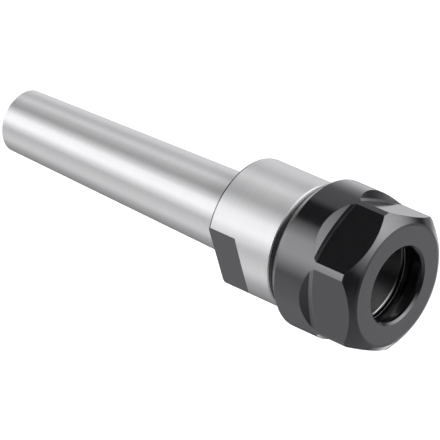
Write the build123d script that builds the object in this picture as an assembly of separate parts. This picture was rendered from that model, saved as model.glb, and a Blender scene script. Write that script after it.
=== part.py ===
from build123d import *
import math
import os

# A collet chuck holder: a hardened body with a Morse taper shank, and the clamping nut on its nose.
# Lengths are in millimetres and angles in degrees.
# +X runs along the chuck's axis, from the small end of the shank to the face of the nut.
# The origin is on the axis at the taper's gauge line, where the shank has its nominal diameter.
# A clock angle is measured about +X, from +Y towards +Z.

# Morse taper shank, number 2
gauge_d = 17.78
taper_per_mm = 0.04995
taper_length = 64.0
shank_neck_length = 4.2
shank_end_chamfer = 0.5
shank_root_chamfer = 0.4

# Drawbar hole in the small end, tapped M10, with a 60 degree centre in its mouth
drawbar_d = 10.0
drawbar_pitch = 1.5
drawbar_thread_length = 24.0
drawbar_drill_spare = 5.0
centre_mouth_d = 11.2
centre_angle = 60.0

# Head, with two wrench flats milled in from its rear, each running out through a ramp
head_d = 28.8
head_length = 17.75
head_rear_radius = 0.6
head_front_chamfer = 0.5
flats_across = 23.5
flats_length = 7.5
flats_ramp_angle = 42.0
flats_clock = 197.5

# Nose, threaded M25 x 1.5, with an undercut behind the thread
nose_d = 25.0
nose_pitch = 1.5
nose_length = 15.95
nose_chamfer = 1.0
undercut_d = 22.6
undercut_length = 2.4

# Cavity for the collet, with a plain bore behind it for the tool's shank
cavity_mouth_d = 21.0
cavity_half_angle = 8.0
cavity_length = 24.5
cavity_mouth_chamfer = 0.25
tool_bore_d = 13.4
tool_bore_depth = 42.0
drill_point_angle = 118.0

# Clamping nut, outside. Its face reaches past the face of the nose.
nut_d = 33.6
nut_length = 21.7
nut_reach = 7.4
nut_bevel_length = 2.6
nut_bevel_depth = 3.15
nut_face_chamfer = 0.3
nut_rear_chamfer_length = 1.9
nut_rear_chamfer_depth = 1.6
hex_across = 29.85
hex_length = 11.4
hex_clock = 3.5
hex_sides = 6

# The round cutter that mills each flat. Its tapered rim leaves the ramp at the flat's rear.
hex_cutter_radius = 40.0
hex_ramp_angle = 50.0
hex_ramp_chamfer = 0.42

# Clamping nut, inside, from its front face inwards
nut_mouth_d = 17.0
nut_mouth_chamfer = 0.5
nut_mouth_land = 1.2
seat_d = 21.2
seat_half_angle = 30.0
groove_d = 22.4
groove_width = 0.6
lip_d = 20.8
lip_width = 1.2
lip_offset = 0.4
lip_clock = 258.0
nut_relief_clearance = 0.3
nut_relief_width = 2.8
nut_thread_chamfer = 0.8

# Radial gap between the nose's thread and the nut's, both drawn plain at their pitch diameter
thread_clearance = 0.05

# Height of a metric thread's sharp triangle, as a share of its pitch
thread_height = math.sqrt(3) / 2

# Stations along the axis
shank_end_x = -taper_length
head_rear_x = shank_neck_length
head_front_x = head_rear_x + head_length
nose_face_x = head_front_x + nose_length
cavity_end_x = nose_face_x - cavity_length
tool_bore_end_x = nose_face_x - tool_bore_depth
nut_face_x = nose_face_x + nut_reach
nut_rear_x = nut_face_x - nut_length


def taper_radius(x):
    """Radius of the Morse taper at a station on the axis."""
    return (gauge_d + taper_per_mm * x) / 2


def pitch_radius(major_d, pitch):
    """Pitch radius of a metric thread, 3/8 of the sharp height inside its crest."""
    return major_d / 2 - 3 / 8 * thread_height * pitch


def hole_radius(major_d, pitch):
    """Crest radius of a metric thread in a hole, 5/8 of the sharp height inside its root."""
    return major_d / 2 - 5 / 8 * thread_height * pitch


def turned(points):
    """Solid of revolution about the X axis, from (x, radius) points of its half section."""
    section = make_face(Polyline(*points, close=True))
    return revolve(section, Axis.X)


def drill_point_length(radius):
    """Length of the cone that a twist drill leaves at the bottom of a hole."""
    return radius / math.tan(math.radians(drill_point_angle / 2))


def shank_and_head():
    """Outside of the body: taper shank, head, undercut and threaded nose, as one turning."""
    nose_r = pitch_radius(nose_d, nose_pitch)
    undercut_x = head_front_x + undercut_length
    outline = [
        (shank_end_x, 0),
        (shank_end_x, taper_radius(shank_end_x)),
        (head_rear_x, taper_radius(head_rear_x)),
        (head_rear_x, head_d / 2),
        (head_front_x, head_d / 2),
        (head_front_x, undercut_d / 2),
        (undercut_x, undercut_d / 2),
        (undercut_x + nose_r - undercut_d / 2, nose_r),
        (nose_face_x, nose_r),
        (nose_face_x, 0),
    ]
    body = turned(outline)
    rims = body.edges().filter_by(GeomType.CIRCLE)
    body = chamfer(rim_at(rims, shank_end_x, taper_radius(shank_end_x)), shank_end_chamfer)
    rims = body.edges().filter_by(GeomType.CIRCLE)
    body = chamfer(rim_at(rims, head_rear_x, taper_radius(head_rear_x)), shank_root_chamfer)
    rims = body.edges().filter_by(GeomType.CIRCLE)
    body = fillet(rim_at(rims, head_rear_x, head_d / 2), head_rear_radius)
    rims = body.edges().filter_by(GeomType.CIRCLE)
    body = chamfer(rim_at(rims, head_front_x, head_d / 2), head_front_chamfer)
    rims = body.edges().filter_by(GeomType.CIRCLE)
    return chamfer(rim_at(rims, nose_face_x, nose_r), nose_chamfer)


def rim_at(rims, x, radius):
    """The circular edge at a station and radius."""
    return min(rims, key=lambda rim: abs(rim.arc_center.X - x) + abs(rim.radius - radius))


def collet_cavity():
    """Space in the nose: 8 degree seat for the collet, then the bore for the tool's shank."""
    mouth_r = cavity_mouth_d / 2
    end_r = mouth_r - cavity_length * math.tan(math.radians(cavity_half_angle))
    bore_r = tool_bore_d / 2
    outline = [
        (nose_face_x, 0),
        (nose_face_x, mouth_r + cavity_mouth_chamfer),
        (nose_face_x - cavity_mouth_chamfer, mouth_r),
        (cavity_end_x, end_r),
        (cavity_end_x, bore_r),
        (tool_bore_end_x, bore_r),
        (tool_bore_end_x - drill_point_length(bore_r), 0),
    ]
    return turned(outline)


def drawbar_hole():
    """Tapped hole in the small end of the shank, with its centre and drill point."""
    hole_r = hole_radius(drawbar_d, drawbar_pitch)
    mouth_r = centre_mouth_d / 2
    centre_depth = (mouth_r - hole_r) / math.tan(math.radians(centre_angle / 2))
    thread_end_x = shank_end_x + centre_depth + drawbar_thread_length
    drill_end_x = thread_end_x + drawbar_drill_spare
    outline = [
        (shank_end_x, 0),
        (shank_end_x, mouth_r),
        (shank_end_x + centre_depth, hole_r),
        (drill_end_x, hole_r),
        (drill_end_x + drill_point_length(hole_r), 0),
    ]
    return turned(outline)


def wrench_flats():
    """The two segments that are milled off the rear of the head."""
    flat_r = flats_across / 2
    top_r = head_d / 2 + flats_length
    end_x = head_rear_x + flats_length
    ramp_top_x = end_x + (top_r - flat_r) / math.tan(math.radians(flats_ramp_angle))
    outline = Polyline(
        (head_rear_x, flat_r), (end_x, flat_r), (ramp_top_x, top_r), (head_rear_x, top_r), close=True
    )
    cut = extrude(make_face(outline), head_d / 2, both=True)
    return [Rot(flats_clock, 0, 0) * cut, Rot(flats_clock + 180, 0, 0) * cut]


def make_chuck_body():
    """Body of the chuck in one piece, from the shank's small end to the face of the nose."""
    body = shank_and_head()
    for cut in wrench_flats():
        body -= cut
    return body - collet_cavity() - drawbar_hole()


def crown_centre(start, end):
    """Station on the axis from which two points of the nut's crown are equally far."""
    difference = end[0] ** 2 + end[1] ** 2 - start[0] ** 2 - start[1] ** 2
    return difference / (2 * (end[0] - start[0]))


def nut_blank():
    """Outside of the nut as turned, with a bevel crowned to a sphere in front and a chamfer at its rear."""
    face_r = nut_d / 2 - nut_bevel_depth
    bevel_start = (nut_face_x - nut_bevel_length, nut_d / 2)
    bevel_end = (nut_face_x, face_r)
    rear = Polyline(
        (nut_rear_x, 0),
        (nut_rear_x, nut_d / 2 - nut_rear_chamfer_depth),
        (nut_rear_x + nut_rear_chamfer_length, nut_d / 2),
        bevel_start,
    )
    centre_x = crown_centre(bevel_start, bevel_end)
    bevel = RadiusArc(bevel_start, bevel_end, math.dist(bevel_start, (centre_x, 0)))
    front = Polyline(bevel_end, (nut_face_x, 0), (nut_rear_x, 0))
    blank = revolve(make_face(rear + bevel + front), Axis.X)
    rims = blank.edges().filter_by(GeomType.CIRCLE)
    return chamfer(rim_at(rims, nut_face_x, face_r), nut_face_chamfer)


def hex_pocket():
    """One flat of the hexagon, open to the face, as the cutter leaves it."""
    flat_r = hex_across / 2
    top_r = nut_d / 2 + nut_bevel_depth
    axis_x = nut_face_x - hex_length + hex_cutter_radius
    rim_x = axis_x + hex_cutter_radius
    rim_top_x = rim_x + (top_r - flat_r) / math.tan(math.radians(hex_ramp_angle))
    outline = Polyline(
        (axis_x, flat_r), (rim_x, flat_r), (rim_top_x, top_r), (axis_x, top_r), close=True
    )
    section = make_face(outline)
    corner = section.vertices().sort_by_distance((rim_x, flat_r, 0))[0]
    section = chamfer(corner, hex_ramp_chamfer)
    return revolve(section, Axis((axis_x, 0, 0), (0, 1, 0)))


def nut_bore():
    """Inside of the nut: mouth, collet seat, groove, eccentric lip, relief and thread."""
    mouth_r = nut_mouth_d / 2
    seat_r = seat_d / 2
    relief_r = nose_d / 2 + nut_relief_clearance
    thread_r = pitch_radius(nose_d, nose_pitch) + thread_clearance
    seat_x = nut_face_x - nut_mouth_land
    groove_x = seat_x - (seat_r - mouth_r) / math.tan(math.radians(seat_half_angle))
    lip_x = groove_x - groove_width
    relief_x = lip_x - lip_width
    thread_x = relief_x - nut_relief_width
    front = [
        (nut_face_x, 0),
        (nut_face_x, mouth_r + nut_mouth_chamfer),
        (nut_face_x - nut_mouth_chamfer, mouth_r),
        (seat_x, mouth_r),
        (groove_x, seat_r),
        (groove_x, groove_d / 2),
        (lip_x, groove_d / 2),
        (lip_x, 0),
    ]
    rear = [
        (relief_x, 0),
        (relief_x, relief_r),
        (thread_x, relief_r),
        (thread_x - (relief_r - thread_r), thread_r),
        (nut_rear_x + nut_thread_chamfer, thread_r),
        (nut_rear_x, thread_r + nut_thread_chamfer),
        (nut_rear_x, 0),
    ]
    lip = Rot(0, 90, 0) * Cylinder(lip_d / 2, lip_width, align=(Align.CENTER, Align.CENTER, Align.MIN))
    lip = Rot(lip_clock, 0, 0) * (Pos(relief_x, lip_offset, 0) * lip)
    return [turned(front), turned(rear), lip]


def make_clamping_nut():
    """Clamping nut in one piece, with the eccentric lip that pulls the collet out again."""
    nut = nut_blank()
    pocket = hex_pocket()
    for side in range(hex_sides):
        nut -= Rot(hex_clock + side * 360 / hex_sides, 0, 0) * pocket
    for space in nut_bore():
        nut -= space
    return nut


os.makedirs("parts", exist_ok=True)
export_step(make_chuck_body(), "parts/chuck_body.step")
export_step(make_clamping_nut(), "parts/clamping_nut.step")
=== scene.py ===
import math

import bpy
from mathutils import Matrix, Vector


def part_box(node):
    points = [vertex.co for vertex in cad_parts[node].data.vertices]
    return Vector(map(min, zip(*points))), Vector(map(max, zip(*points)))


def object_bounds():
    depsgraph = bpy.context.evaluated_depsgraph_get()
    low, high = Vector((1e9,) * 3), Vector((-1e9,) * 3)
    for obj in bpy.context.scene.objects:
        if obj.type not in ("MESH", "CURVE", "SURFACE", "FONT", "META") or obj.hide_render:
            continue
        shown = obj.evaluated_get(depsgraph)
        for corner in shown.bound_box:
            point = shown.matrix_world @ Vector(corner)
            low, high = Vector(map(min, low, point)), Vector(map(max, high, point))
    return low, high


# Lengths are in metres and angles in degrees. +X runs along the chuck's axis, from shank to nut.
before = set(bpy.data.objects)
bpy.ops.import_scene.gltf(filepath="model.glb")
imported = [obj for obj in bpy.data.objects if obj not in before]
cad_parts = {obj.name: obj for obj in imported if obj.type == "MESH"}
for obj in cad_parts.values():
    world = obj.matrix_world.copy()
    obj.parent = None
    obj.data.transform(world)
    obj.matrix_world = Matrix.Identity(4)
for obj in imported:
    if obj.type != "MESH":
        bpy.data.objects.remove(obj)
cad_low, cad_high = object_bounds()

# Camera: its direction, distance and aim as fitted to the photograph's outlines, and its focal length in
# pixels of the 440 pixel frame
VIEW_AZIMUTH = 41.65
VIEW_ELEVATION = 30.0
VIEW_DISTANCE = 0.83004
VIEW_AIM = (0.01291, -0.01971, 0.01200)
FOCAL_PIXELS = 3960.0
FRAME_PIXELS = 440.0
SENSOR_MM = 36.0
CLIP_START = 0.01
CLIP_END = 100.0

# Floor, far enough below for its shadow to be faint, and brighter to the camera than it is as a light
FLOOR_DROP = 0.12
FLOOR_HALF = 6.0
FLOOR_GREY = 0.85
FLOOR_ROUGHNESS = 0.9
FLOOR_LIFT = 0.42

# Studio round the axis, 0 at +Y, 90 overhead, 180 at -Y. A long panel has its middle, where it starts to
# fade and where it ends, in degrees from that middle, and its level. The panels follow the bands of light
# in the photograph. First those out beyond the shank's end
KEY_PANEL = (150.0, 12.0, 42.0, 3.0)
UNDER_PANEL = (225.0, 20.0, 95.0, 0.85)
BACK_PANEL = (356.0, 12.0, 40.0, 1.0)
BACK_CARD = (30.0, 40.0, 50.0, 0.55)

# and then those straight out from the axis
TOP_PANEL = (98.0, 20.0, 44.0, 2.3)
SIDE_PANEL = (198.0, 22.0, 46.0, 2.1)
LOW_PANEL = (240.0, 10.0, 60.0, 0.9)
EDGE_PANEL = (318.0, 5.0, 26.0, 2.3)
FILL_CARD = (5.0, 30.0, 60.0, 0.5)

# Where the three parts of the studio meet, by the X of a direction, and the colour of their light
REAR_END = -0.42
MIDDLE_START = -0.22
MIDDLE_END = 0.0
FRONT_START = 0.20
STUDIO_TINT = (0.80, 0.80, 0.83, 1.0)

# Studio in front of the nut. A round patch has its direction, where it starts to fade and where it ends, in
# degrees from that direction, and its level. The light off the floor grows with the fall of a direction
PANEL = ((0.745, 0.36, 0.56), 1.0, 51.5, 4.3)
SPILL = ((0.50, 0.74, 0.45), 5.0, 36.0, 1.1)
BACKDROP = ((0.50, 0.74, -0.45), 6.0, 30.0, 0.60)
FRONT_FLOOR = 0.42
FLOOR_START = -0.05
FLOOR_FULL = -0.70

# Where the body's finishes, and the painted shade in its bores, begin and end, as stations along the axis
# and distances from it. A reach is how far below its surface a finish goes on
SHANK_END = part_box("chuck_body")[0].x
END_REACH = 0.0001
TAPER_GAUGE_RADIUS = 0.00889
TAPER_SLOPE = 0.04995 / 2
TAPER_REACH = 0.0006
HEAD_REAR = 0.0042
HEAD_GROUND = 0.0048
HEAD_FRONT = 0.02195
HEAD_CHAMFER = 0.0005
HEAD_RADIUS = 0.0144
BORE_RADIUS = 0.0109
TOOL_RADIUS = 0.0068
NOSE_FACE = 0.0379
NOSE_CHAMFER = 0.00025
DRAWBAR_RADIUS = 0.0056
DRAWBAR_END = -0.035
DRAWBAR_MOUTH = 0.0010
THREAD_PITCH = 0.0015
THREAD_DEPTH = 0.0005

# The nut's hexagon: the middle of one side, the angle from side to side, its half width, the cutter's
# centre and the two ends of its ramps, and then the lip inside the mouth, whose edge carries a painted
# highlight line
HEX_CLOCK = 3.5
HEX_TURN = 60.0
HEX_HALF = 0.014925
NUT_RADIUS = 0.0168
CUTTER_X = 0.0739
RAMP_REAR = 0.0315
RAMP_FRONT = 0.0352
LIP_RADIUS = 0.0111
LIP_LINE = 0.0387

# How wide a bright line is, and how soft the border between two finishes is
LINE_WIDTH = 0.00012
HAIR = 0.00003

# Ground steel and black oxide: how light and how rough they are, and how far each varies
STEEL_GREY = 0.70
# The bores' steel is painted this much darker, as painted shade inside them
BORE_SHADE_GREY = 0.25
STEEL_WARMTH = 0.98
STEEL_ROUGHNESS = 0.35
STEEL_ANISOTROPY = 1.0
LINE_SHADE = 0.02
BAND_SHADE = 0.006
OXIDE_GREY = 0.0115
OXIDE_SPREAD = 0.15
OXIDE_COOLNESS = 1.05
OXIDE_ROUGHNESS = 0.14
SIDE_ROUGHNESS = 0.10
OXIDE_IOR = 1.9
# Oxide edges lighter in patches: partly wear, partly a painted highlight
WEAR_AND_GLINT_GREY = 3 * OXIDE_GREY
# A bright line painted on the edge of the nut's lip as a highlight
PAINTED_HIGHLIGHT_GREY = 0.90
ROUGHNESS_SPREAD = 0.02

# Tool marks: how far apart they are and how fast they change round the chuck, and then their depths
GRINDING_LINES = (0.00011, 1.7)
GRINDING_BANDS = (0.0011, 0.6)
TURNING_MARKS = (0.00013, 1.5)
MILLING_MARKS = (0.00016, 0.5)
GRINDING_DEPTH = 0.0000003
TURNING_DEPTH = 0.0000008
RAMP_DEPTH = 0.000005

# Noise: its detail, the range that counts, and the size and share of the patches where edges are lighter,
# partly from wear and partly as a painted highlight
NOISE_DETAIL = 3.0
NOISE_LOW = 0.3
NOISE_HIGH = 0.7
CLOUD_SCALE = 420.0
WEAR_AND_GLINT_LOW = 0.35
WEAR_AND_GLINT_HIGH = 0.65

# Edges: how far they are rounded, and the cosines of the turn at which a place is an edge and isn't one
EDGE_RADIUS = 0.00009
EDGE_SAMPLES = 6
EDGE_FULL = 0.90
EDGE_NONE = 0.995


def add_camera():
    """The camera, without roll, looking down at the chuck from the photograph's side."""
    azimuth = math.radians(VIEW_AZIMUTH)
    elevation = math.radians(VIEW_ELEVATION)
    back = Vector((
        math.sin(azimuth) * math.cos(elevation),
        -math.cos(azimuth) * math.cos(elevation),
        math.sin(elevation),
    ))
    data = bpy.data.cameras.new("camera")
    data.sensor_width = SENSOR_MM
    data.lens = FOCAL_PIXELS * SENSOR_MM / FRAME_PIXELS
    data.clip_start = CLIP_START
    data.clip_end = CLIP_END
    camera = bpy.data.objects.new("camera", data)
    bpy.context.scene.collection.objects.link(camera)
    camera.location = Vector(VIEW_AIM) + back * VIEW_DISTANCE
    camera.rotation_euler = back.to_track_quat("Z", "Y").to_euler()
    bpy.context.scene.camera = camera


class Nodes:
    """Short names for making and linking shader nodes in one tree."""

    def __init__(self, tree):
        self.tree = tree
        self.tree.nodes.clear()

    def new(self, kind, **settings):
        node = self.tree.nodes.new(kind)
        for name, value in settings.items():
            setattr(node, name, value)
        return node

    def put(self, socket, value):
        """Links an output to a socket, or sets the socket to a constant."""
        if isinstance(value, bpy.types.NodeSocket):
            self.tree.links.new(value, socket)
        else:
            socket.default_value = value

    def math(self, operation, a, b=0.0, c=0.0):
        node = self.new("ShaderNodeMath", operation=operation)
        for socket, value in zip(node.inputs, (a, b, c)):
            self.put(socket, value)
        return node.outputs[0]

    def to_degrees(self, angle):
        return self.math("MULTIPLY", angle, 180 / math.pi)

    def vector(self, operation, a, b=(0.0, 0.0, 0.0)):
        node = self.new("ShaderNodeVectorMath", operation=operation)
        self.put(node.inputs[0], a)
        self.put(node.inputs[1], b)
        return node.outputs["Value" if operation in ("DOT_PRODUCT", "LENGTH") else "Vector"]

    def split(self, vector):
        node = self.new("ShaderNodeSeparateXYZ")
        self.put(node.inputs[0], vector)
        return node.outputs

    def join(self, x, y, z):
        node = self.new("ShaderNodeCombineXYZ")
        for socket, value in zip(node.inputs, (x, y, z)):
            self.put(socket, value)
        return node.outputs[0]

    def ramp(self, value, low, high, start=0.0, end=1.0, kind="LINEAR"):
        """start below low, end above high, and a straight line between."""
        node = self.new("ShaderNodeMapRange", interpolation_type=kind)
        for name, number in (("Value", value), ("From Min", low), ("From Max", high),
                             ("To Min", start), ("To Max", end)):
            self.put(node.inputs[name], number)
        return node.outputs[0]

    def step(self, value, low, high, start=0.0, end=1.0):
        """As ramp, with a smooth step between."""
        return self.ramp(value, low, high, start, end, "SMOOTHSTEP")

    def above(self, value, edge, soft=HAIR):
        """1 above an edge and 0 below it."""
        return self.step(value, edge - soft / 2, edge + soft / 2)

    def below(self, value, edge):
        """1 below an edge and 0 above it."""
        return self.step(value, edge - HAIR / 2, edge + HAIR / 2, 1.0, 0.0)

    def between(self, value, low, high):
        """1 between two edges and 0 outside them."""
        return self.both(self.above(value, low), self.below(value, high))

    def both(self, a, b):
        return self.math("MULTIPLY", a, b)

    def either(self, a, b):
        return self.math("MAXIMUM", a, b)

    def blend(self, factor, a, b):
        """Number a where factor is 0, b where it is 1."""
        node = self.new("ShaderNodeMix", data_type="FLOAT")
        for name, value in (("Factor", factor), ("A", a), ("B", b)):
            self.put(node.inputs[name], value)
        return node.outputs["Result"]

    def noise(self, vector, scale):
        node = self.new("ShaderNodeTexNoise")
        self.put(node.inputs["Vector"], vector)
        self.put(node.inputs["Scale"], scale)
        self.put(node.inputs["Detail"], NOISE_DETAIL)
        return node.outputs[0]

    def spread(self, noise, middle, reach):
        """A noise brought to the range within reach of the middle."""
        return self.ramp(noise, NOISE_LOW, NOISE_HIGH, middle - reach, middle + reach)

    def bump(self, height, distance, normal):
        node = self.new("ShaderNodeBump")
        self.put(node.inputs["Height"], height)
        self.put(node.inputs["Distance"], distance)
        self.put(node.inputs["Normal"], normal)
        return node.outputs[0]

    def mix(self, factor, a, b):
        """Shader a where factor is 0, b where it is 1."""
        node = self.new("ShaderNodeMixShader")
        for socket, value in zip(node.inputs, (factor, a.outputs[0], b.outputs[0])):
            self.put(socket, value)
        return node

    def output(self, kind, shader):
        """Ends the tree in this shader."""
        self.put(self.new(kind).inputs["Surface"], shader.outputs[0])


def grey(level):
    return (level, level, level, 1.0)


def make_material(name):
    material = bpy.data.materials.new(name)
    material.use_nodes = True
    return material, Nodes(material.node_tree)


def long_panels(n, turn, panels):
    """Brightness by the angle round the axis, from panels that run along it."""
    total = 0.0
    for middle, inner, outer, level in panels:
        away = n.math("WRAP", n.math("SUBTRACT", turn, middle), 180.0, -180.0)
        away = n.math("ABSOLUTE", away)
        total = n.math("ADD", total, n.ramp(away, inner, outer, level, 0.0))
    return total


def round_patch(n, direction, centre, inner, outer, level):
    """A round patch of light about a direction, which fades from its inner angle to its outer one."""
    cosine = n.vector("DOT_PRODUCT", direction, tuple(Vector(centre).normalized()))
    angle = n.to_degrees(n.math("ARCCOSINE", cosine))
    return n.ramp(angle, inner, outer, level, 0.0)


def add_world():
    """The studio: long panels round the axis, round patches in front, and plain white for the camera."""
    world = bpy.data.worlds.new("studio")
    bpy.context.scene.world = world
    world.use_nodes = True
    n = Nodes(world.node_tree)
    direction = n.new("ShaderNodeTexCoord").outputs["Generated"]
    x, y, z = n.split(direction)
    turn = n.math("FLOORED_MODULO", n.to_degrees(n.math("ARCTAN2", z, y)), 360.0)
    rear = long_panels(n, turn, (KEY_PANEL, UNDER_PANEL, BACK_PANEL, BACK_CARD))
    middle = long_panels(n, turn, (TOP_PANEL, SIDE_PANEL, LOW_PANEL, EDGE_PANEL, FILL_CARD))
    front = n.ramp(z, FLOOR_FULL, FLOOR_START, FRONT_FLOOR, 0.0)
    for patch in (PANEL, SPILL, BACKDROP):
        front = n.math("ADD", front, round_patch(n, direction, *patch))
    level = n.blend(n.step(x, REAR_END, MIDDLE_START), rear, middle)
    level = n.blend(n.step(x, MIDDLE_END, FRONT_START), level, front)
    studio = n.new("ShaderNodeBackground")
    n.put(studio.inputs["Color"], STUDIO_TINT)
    n.put(studio.inputs["Strength"], level)
    plain = n.new("ShaderNodeBackground")
    n.put(plain.inputs["Color"], grey(1.0))
    seen = n.new("ShaderNodeLightPath").outputs["Is Camera Ray"]
    n.output("ShaderNodeOutputWorld", n.mix(seen, studio, plain))


def add_floor():
    """A pale floor below the chuck."""
    z = cad_low.z - FLOOR_DROP
    half = FLOOR_HALF
    data = bpy.data.meshes.new("floor")
    data.from_pydata([(-half, -half, z), (half, -half, z), (half, half, z), (-half, half, z)],
                     [], [(0, 1, 2, 3)])
    floor = bpy.data.objects.new("floor", data)
    bpy.context.scene.collection.objects.link(floor)
    material, n = make_material("floor")
    surface = n.new("ShaderNodeBsdfPrincipled")
    n.put(surface.inputs["Base Color"], grey(FLOOR_GREY))
    n.put(surface.inputs["Roughness"], FLOOR_ROUGHNESS)
    n.put(surface.inputs["Emission Color"], grey(1.0))
    seen = n.new("ShaderNodeLightPath").outputs["Is Camera Ray"]
    n.put(surface.inputs["Emission Strength"], n.math("MULTIPLY", seen, FLOOR_LIFT))
    n.output("ShaderNodeOutputMaterial", surface)
    data.materials.append(material)
    floor.visible_glossy = False


class Lathe:
    """What a shader knows of its place on the chuck: along the axis, out from it and round it."""

    def __init__(self, n):
        self.n = n
        self.point = n.new("ShaderNodeTexCoord").outputs["Object"]
        self.x, y, z = n.split(self.point)
        radial = n.join(0.0, y, z)
        self.radius = n.vector("LENGTH", radial)
        self.way = n.vector("NORMALIZE", radial)
        self.clock = n.to_degrees(n.math("ARCTAN2", z, y))
        self.normal = n.new("ShaderNodeNewGeometry").outputs["Normal"]
        around = n.vector("CROSS_PRODUCT", (1.0, 0.0, 0.0), radial)
        self.tangent = n.vector("NORMALIZE", n.vector("CROSS_PRODUCT", self.normal, around))
        bevel = n.new("ShaderNodeBevel", samples=EDGE_SAMPLES)
        n.put(bevel.inputs["Radius"], EDGE_RADIUS)
        self.rounded = bevel.outputs[0]

    def marks(self, across, spacing, turns):
        """Fine tool marks: noise that changes fast across them and slowly round the chuck."""
        n = self.n
        _, y, z = n.split(self.way)
        y = n.math("MULTIPLY", y, turns)
        z = n.math("MULTIPLY", z, turns)
        return n.noise(n.join(n.math("DIVIDE", across, spacing), y, z), 1.0)

    def turning(self):
        """The marks of a turning tool, on faces as well as round the outside."""
        return self.marks(self.n.math("SUBTRACT", self.x, self.radius), *TURNING_MARKS)

    def thread(self):
        """A right-hand thread's height, from 0 in its root to 0.5 on its crest."""
        n = self.n
        along = n.math("DIVIDE", self.x, THREAD_PITCH)
        turn = n.math("SUBTRACT", along, n.math("DIVIDE", self.clock, 360.0))
        return n.math("PINGPONG", turn, 0.5)

    def edge(self):
        """1 on the edges and 0 away from them."""
        same = self.n.vector("DOT_PRODUCT", self.rounded, self.normal)
        return self.n.step(same, EDGE_FULL, EDGE_NONE, 1.0, 0.0)


def steel_shader(n, place, grey_level):
    """Cylindrically ground steel: highlights spread along the axis, across the grinding lines."""
    lines = place.marks(place.x, *GRINDING_LINES)
    bands = place.marks(place.x, *GRINDING_BANDS)
    shade = n.math("ADD", n.spread(lines, 0.0, LINE_SHADE), n.spread(bands, 0.0, BAND_SHADE))
    level = n.math("ADD", shade, grey_level)
    surface = n.new("ShaderNodeBsdfPrincipled")
    n.put(surface.inputs["Base Color"], n.join(level, level, n.math("MULTIPLY", level, STEEL_WARMTH)))
    n.put(surface.inputs["Metallic"], 1.0)
    n.put(surface.inputs["Roughness"], n.spread(lines, STEEL_ROUGHNESS, ROUGHNESS_SPREAD))
    n.put(surface.inputs["Anisotropic"], STEEL_ANISOTROPY)
    n.put(surface.inputs["Tangent"], place.tangent)
    n.put(surface.inputs["Normal"], n.bump(lines, GRINDING_DEPTH, place.rounded))
    return surface


def oxide_shader(n, place, marks, depth, roughness=OXIDE_ROUGHNESS, painted_highlight=0.0):
    """Black oxide over machined steel, with its tool marks, lighter in patches along the edges, partly from
    wear and partly as a painted highlight, and bright where a painted highlight line is given.
    """
    cloud = n.noise(place.point, CLOUD_SCALE)
    # Edges lighter in patches: partly wear, partly a painted highlight on the edges
    wear_and_glint = n.both(place.edge(), n.step(cloud, WEAR_AND_GLINT_LOW, WEAR_AND_GLINT_HIGH))
    level = n.spread(marks, OXIDE_GREY, OXIDE_GREY * OXIDE_SPREAD)
    level = n.blend(wear_and_glint, level, WEAR_AND_GLINT_GREY)
    # A painted highlight: a bright line where the highlight mask is 1
    level = n.blend(painted_highlight, level, PAINTED_HIGHLIGHT_GREY)
    surface = n.new("ShaderNodeBsdfPrincipled")
    n.put(surface.inputs["Base Color"], n.join(level, level, n.math("MULTIPLY", level, OXIDE_COOLNESS)))
    n.put(surface.inputs["Roughness"], n.math("ADD", roughness, n.spread(cloud, 0.0, ROUGHNESS_SPREAD)))
    n.put(surface.inputs["IOR"], OXIDE_IOR)
    n.put(surface.inputs["Normal"], n.bump(marks, depth, place.rounded))
    return surface


def black_oxide():
    """The nut: turned all over, with the hexagon's sides and ramps left by a round cutter, and a painted
    highlight line on the lip inside its mouth.
    """
    material, n = make_material("black_oxide")
    place = Lathe(n)
    fold = n.math("SUBTRACT", place.clock, HEX_CLOCK - HEX_TURN / 2)
    fold = n.math("FLOORED_MODULO", fold, HEX_TURN)
    fold = n.math("MULTIPLY", n.math("SUBTRACT", fold, HEX_TURN / 2), math.pi / 180)
    height = n.both(place.radius, n.math("COSINE", fold))
    chord = n.both(place.radius, n.math("SINE", fold))
    side = n.between(height, HEX_HALF - HAIR, HEX_HALF + HAIR)
    side = n.both(side, n.above(place.x, RAMP_REAR))
    outside = n.both(n.above(height, HEX_HALF + HAIR), n.below(place.radius, NUT_RADIUS - HAIR))
    ramp = n.both(n.between(place.x, RAMP_REAR, RAMP_FRONT), outside)
    reach = n.vector("LENGTH", n.join(n.math("SUBTRACT", place.x, CUTTER_X), chord, 0.0))
    marks = n.blend(n.either(side, ramp), place.turning(), place.marks(reach, *MILLING_MARKS))
    depth = n.blend(ramp, TURNING_DEPTH, RAMP_DEPTH)
    roughness = n.blend(side, OXIDE_ROUGHNESS, SIDE_ROUGHNESS)
    # A painted highlight: a thin bright line round the edge of the lip inside the mouth
    painted_highlight = n.both(n.between(place.x, LIP_LINE, LIP_LINE + LINE_WIDTH), n.below(place.radius, LIP_RADIUS))
    n.output("ShaderNodeOutputMaterial", oxide_shader(n, place, marks, depth, roughness, painted_highlight))
    return material


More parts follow.
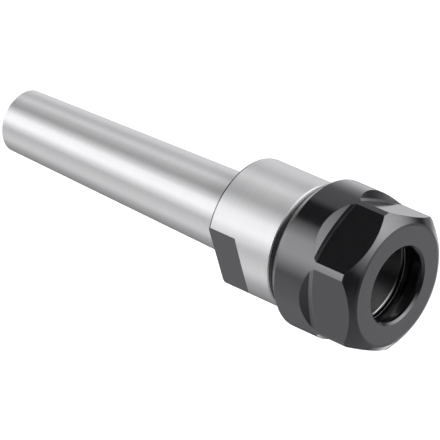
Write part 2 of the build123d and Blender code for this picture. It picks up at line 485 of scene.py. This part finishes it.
def ground_steel():
    """The body: ground outside and in its bores, whose steel is painted darker as shade, and black oxide
    where no grinding wheel reaches.
    """
    material, n = make_material("ground_steel")
    place = Lathe(n)
    x, radius = place.x, place.radius

    # The drawbar hole's thread, which fades out at its mouth
    tapped = n.both(n.below(radius, DRAWBAR_RADIUS), n.below(x, DRAWBAR_END))
    tapped = n.both(tapped, n.above(x, SHANK_END + DRAWBAR_MOUTH, THREAD_PITCH))
    place.rounded = n.bump(n.both(place.thread(), tapped), THREAD_DEPTH, place.rounded)
    black = oxide_shader(n, place, place.turning(), TURNING_DEPTH)

    # Bright outside: the head, its front face with the rear half of the chamfer, and the taper
    on_head = n.both(n.above(radius, HEAD_RADIUS - HAIR), n.above(x, HEAD_GROUND))
    face = n.between(x, HEAD_FRONT - HAIR, HEAD_FRONT + HAIR)
    chamfer = n.between(x, HEAD_FRONT - HEAD_CHAMFER, HEAD_FRONT - HEAD_CHAMFER / 2)
    outside = n.math("SUBTRACT", radius, n.math("MULTIPLY_ADD", x, TAPER_SLOPE, TAPER_GAUGE_RADIUS))
    on_shank = n.both(n.below(x, HEAD_REAR - HAIR), n.above(outside, -TAPER_REACH))
    on_shank = n.both(on_shank, n.above(x, SHANK_END + END_REACH))

    # Painted shade: the bores' steel is painted darker, but for the inner half of the chamfer at the
    # cavity's mouth, which keeps the full steel grey as a bright line
    in_cavity = n.both(n.below(radius, BORE_RADIUS), n.above(x, HEAD_REAR))
    in_drill = n.both(n.below(radius, TOOL_RADIUS), n.above(x, DRAWBAR_END))
    in_bore = n.either(in_cavity, in_drill)
    inner_line = n.between(x, NOSE_FACE - NOSE_CHAMFER, NOSE_FACE - LINE_WIDTH)
    painted_bore_shade = n.math("SUBTRACT", in_bore, n.both(in_bore, inner_line))

    steel = steel_shader(n, place, n.blend(painted_bore_shade, STEEL_GREY, BORE_SHADE_GREY))
    bright = n.either(n.either(on_head, n.either(face, chamfer)), n.either(on_shank, in_bore))
    n.output("ShaderNodeOutputMaterial", n.mix(bright, black, steel))
    return material


def dress(node, material):
    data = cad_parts[node].data
    data.materials.clear()
    data.materials.append(material)


bpy.context.scene.view_settings.view_transform = "Standard"
add_camera()
add_world()
add_floor()
dress("chuck_body", ground_steel())
dress("clamping_nut", black_oxide())
